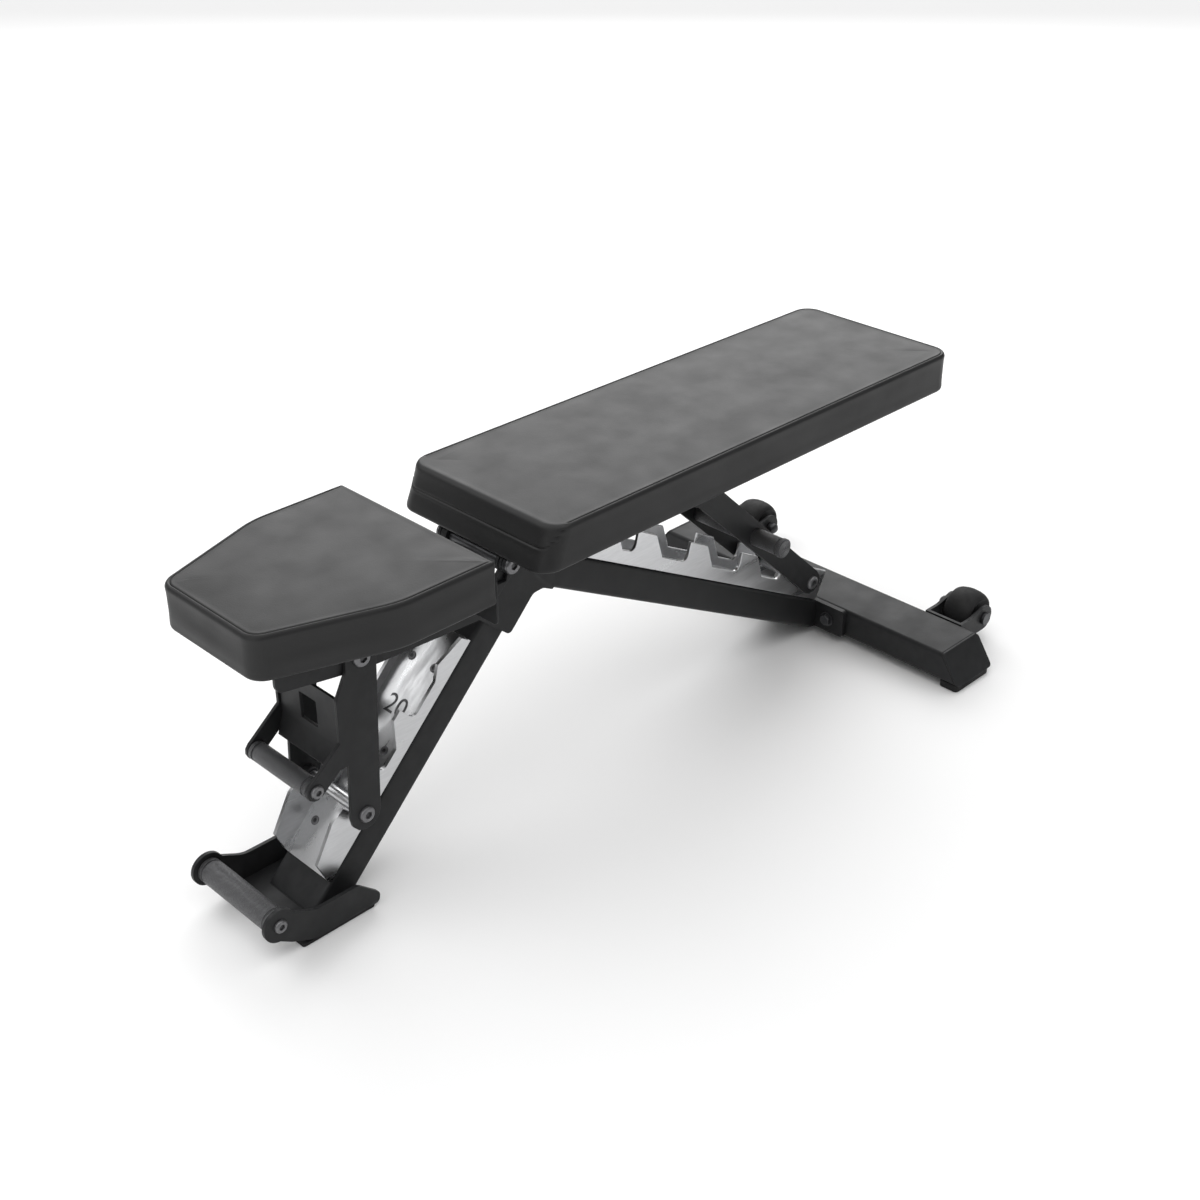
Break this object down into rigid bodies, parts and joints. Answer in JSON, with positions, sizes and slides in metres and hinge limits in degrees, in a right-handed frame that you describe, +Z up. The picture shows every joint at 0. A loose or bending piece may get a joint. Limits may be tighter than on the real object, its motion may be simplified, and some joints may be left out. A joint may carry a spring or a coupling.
{
  "type": "adjustable weight bench",
  "caption": "Padded exercise bench whose seat and back tilt on one cross pin, each propped by a swinging strut in a toothed steel channel; cross foot with rollers behind.",
  "frame": {"origin": "centre of the bounding box in plan, on the floor", "axes": "+X to the head end, +Y to the left, +Z up"},
  "size_m": [1.239, 0.61, 0.445],
  "materials": {
    "frame_paint": "matt dark grey powder coat",
    "plate_paint": "matt dark grey powder coat",
    "stainless": "brushed, long grain",
    "dark_steel": "blackened, knurled on the hand grips",
    "vinyl": "fine-grained black upholstery",
    "rubber": "matt",
    "wood": "plywood board"
  },
  "bodies": {
    "base": {"front_side_plate_left": "plate_paint", "front_side_plate_right": "plate_paint", "front_handle_bolt_left": "dark_steel", "front_handle_bolt_right": "dark_steel", "front_foot_base": "plate_paint", "front_rubber_pad": "rubber", "front_handle": "dark_steel", "post": "frame_paint", "beam": "frame_paint", "flange_bolt_left": "dark_steel", "flange_bolt_right": "dark_steel", "hub_plate_left": "plate_paint", "hub_plate_right": "plate_paint", "main_pin": "dark_steel", "rear_foot": "frame_paint", "rear_foot_cap_left": "rubber", "rear_foot_cap_right": "rubber", "rear_rubber_foot_left": "rubber", "rear_rubber_foot_right": "rubber", "wheel_bracket_left": "plate_paint", "wheel_bracket_right": "plate_paint", "wheel_axle_left": "dark_steel", "wheel_axle_right": "dark_steel", "seat_ladder": "stainless", "back_ladder": "stainless"},
    "wheel_left_body": {"wheel_left": "rubber"},
    "wheel_right_body": {"wheel_right": "rubber"},
    "seat": {"seat_side_plate_left": "plate_paint", "seat_side_plate_right": "plate_paint", "seat_cross_plate": "plate_paint", "seat_link_pin": "dark_steel", "seat_board": "wood", "seat_pad": "vinyl", "seat_rear_plate": "plate_paint"},
    "seat_strut": {"seat_support_left": "plate_paint", "seat_support_right": "plate_paint", "seat_rod_bush_left": "dark_steel", "seat_rod_bush_right": "dark_steel", "seat_rod_bolt_left": "dark_steel", "seat_rod_bolt_right": "dark_steel", "seat_handle_bolt_left": "dark_steel", "seat_handle_bolt_right": "dark_steel", "seat_support_web": "plate_paint", "seat_rod": "stainless", "seat_handle": "dark_steel"},
    "back": {"back_rail_left": "plate_paint", "back_rail_right": "plate_paint", "back_cross_plate": "plate_paint", "back_arm_pin": "dark_steel", "back_board": "wood", "back_pad": "vinyl"},
    "back_strut": {"back_arm_left": "plate_paint", "back_arm_right": "plate_paint", "back_rod_bush_left": "dark_steel", "back_rod_bush_right": "dark_steel", "back_rod_bolt_left": "dark_steel", "back_rod_bolt_right": "dark_steel", "back_rod": "stainless", "back_handle": "dark_steel"}
  },
  "joints": [
    {"name": "seat_tilt", "type": "hinge", "parent": "base", "child": "seat", "pos_m": [-0.2125, 0, 0.374], "axis": [0, 1, 0], "range_deg": [0, 20]},
    {"name": "seat_strut_swing", "type": "hinge", "parent": "seat", "child": "seat_strut", "pos_m": [-0.4435, 0, 0.345], "axis": [0, 1, 0], "range_deg": [-44.6, 0]},
    {"name": "back_tilt", "type": "hinge", "parent": "base", "child": "back", "pos_m": [-0.2125, 0, 0.374], "axis": [0, -1, 0], "range_deg": [0, 85]},
    {"name": "back_strut_swing", "type": "hinge", "parent": "back", "child": "back_strut", "pos_m": [0.1355, 0, 0.349], "axis": [0, -1, 0], "range_deg": [-122.1, 0]},
    {"name": "wheel_left_spin", "type": "hinge", "parent": "base", "child": "wheel_left_body", "pos_m": [0.5835, 0.2125, 0.043], "axis": [0, 1, 0], "continuous": true},
    {"name": "wheel_right_spin", "type": "hinge", "parent": "base", "child": "wheel_right_body", "pos_m": [0.5835, -0.2125, 0.043], "axis": [0, 1, 0], "continuous": true}
  ],
  "couplings": [
    {"joint": "seat_strut_swing", "follows": "seat_tilt", "ratio": -2.2225},
    {"joint": "back_strut_swing", "follows": "back_tilt", "ratio": -1.4352}
  ]
}
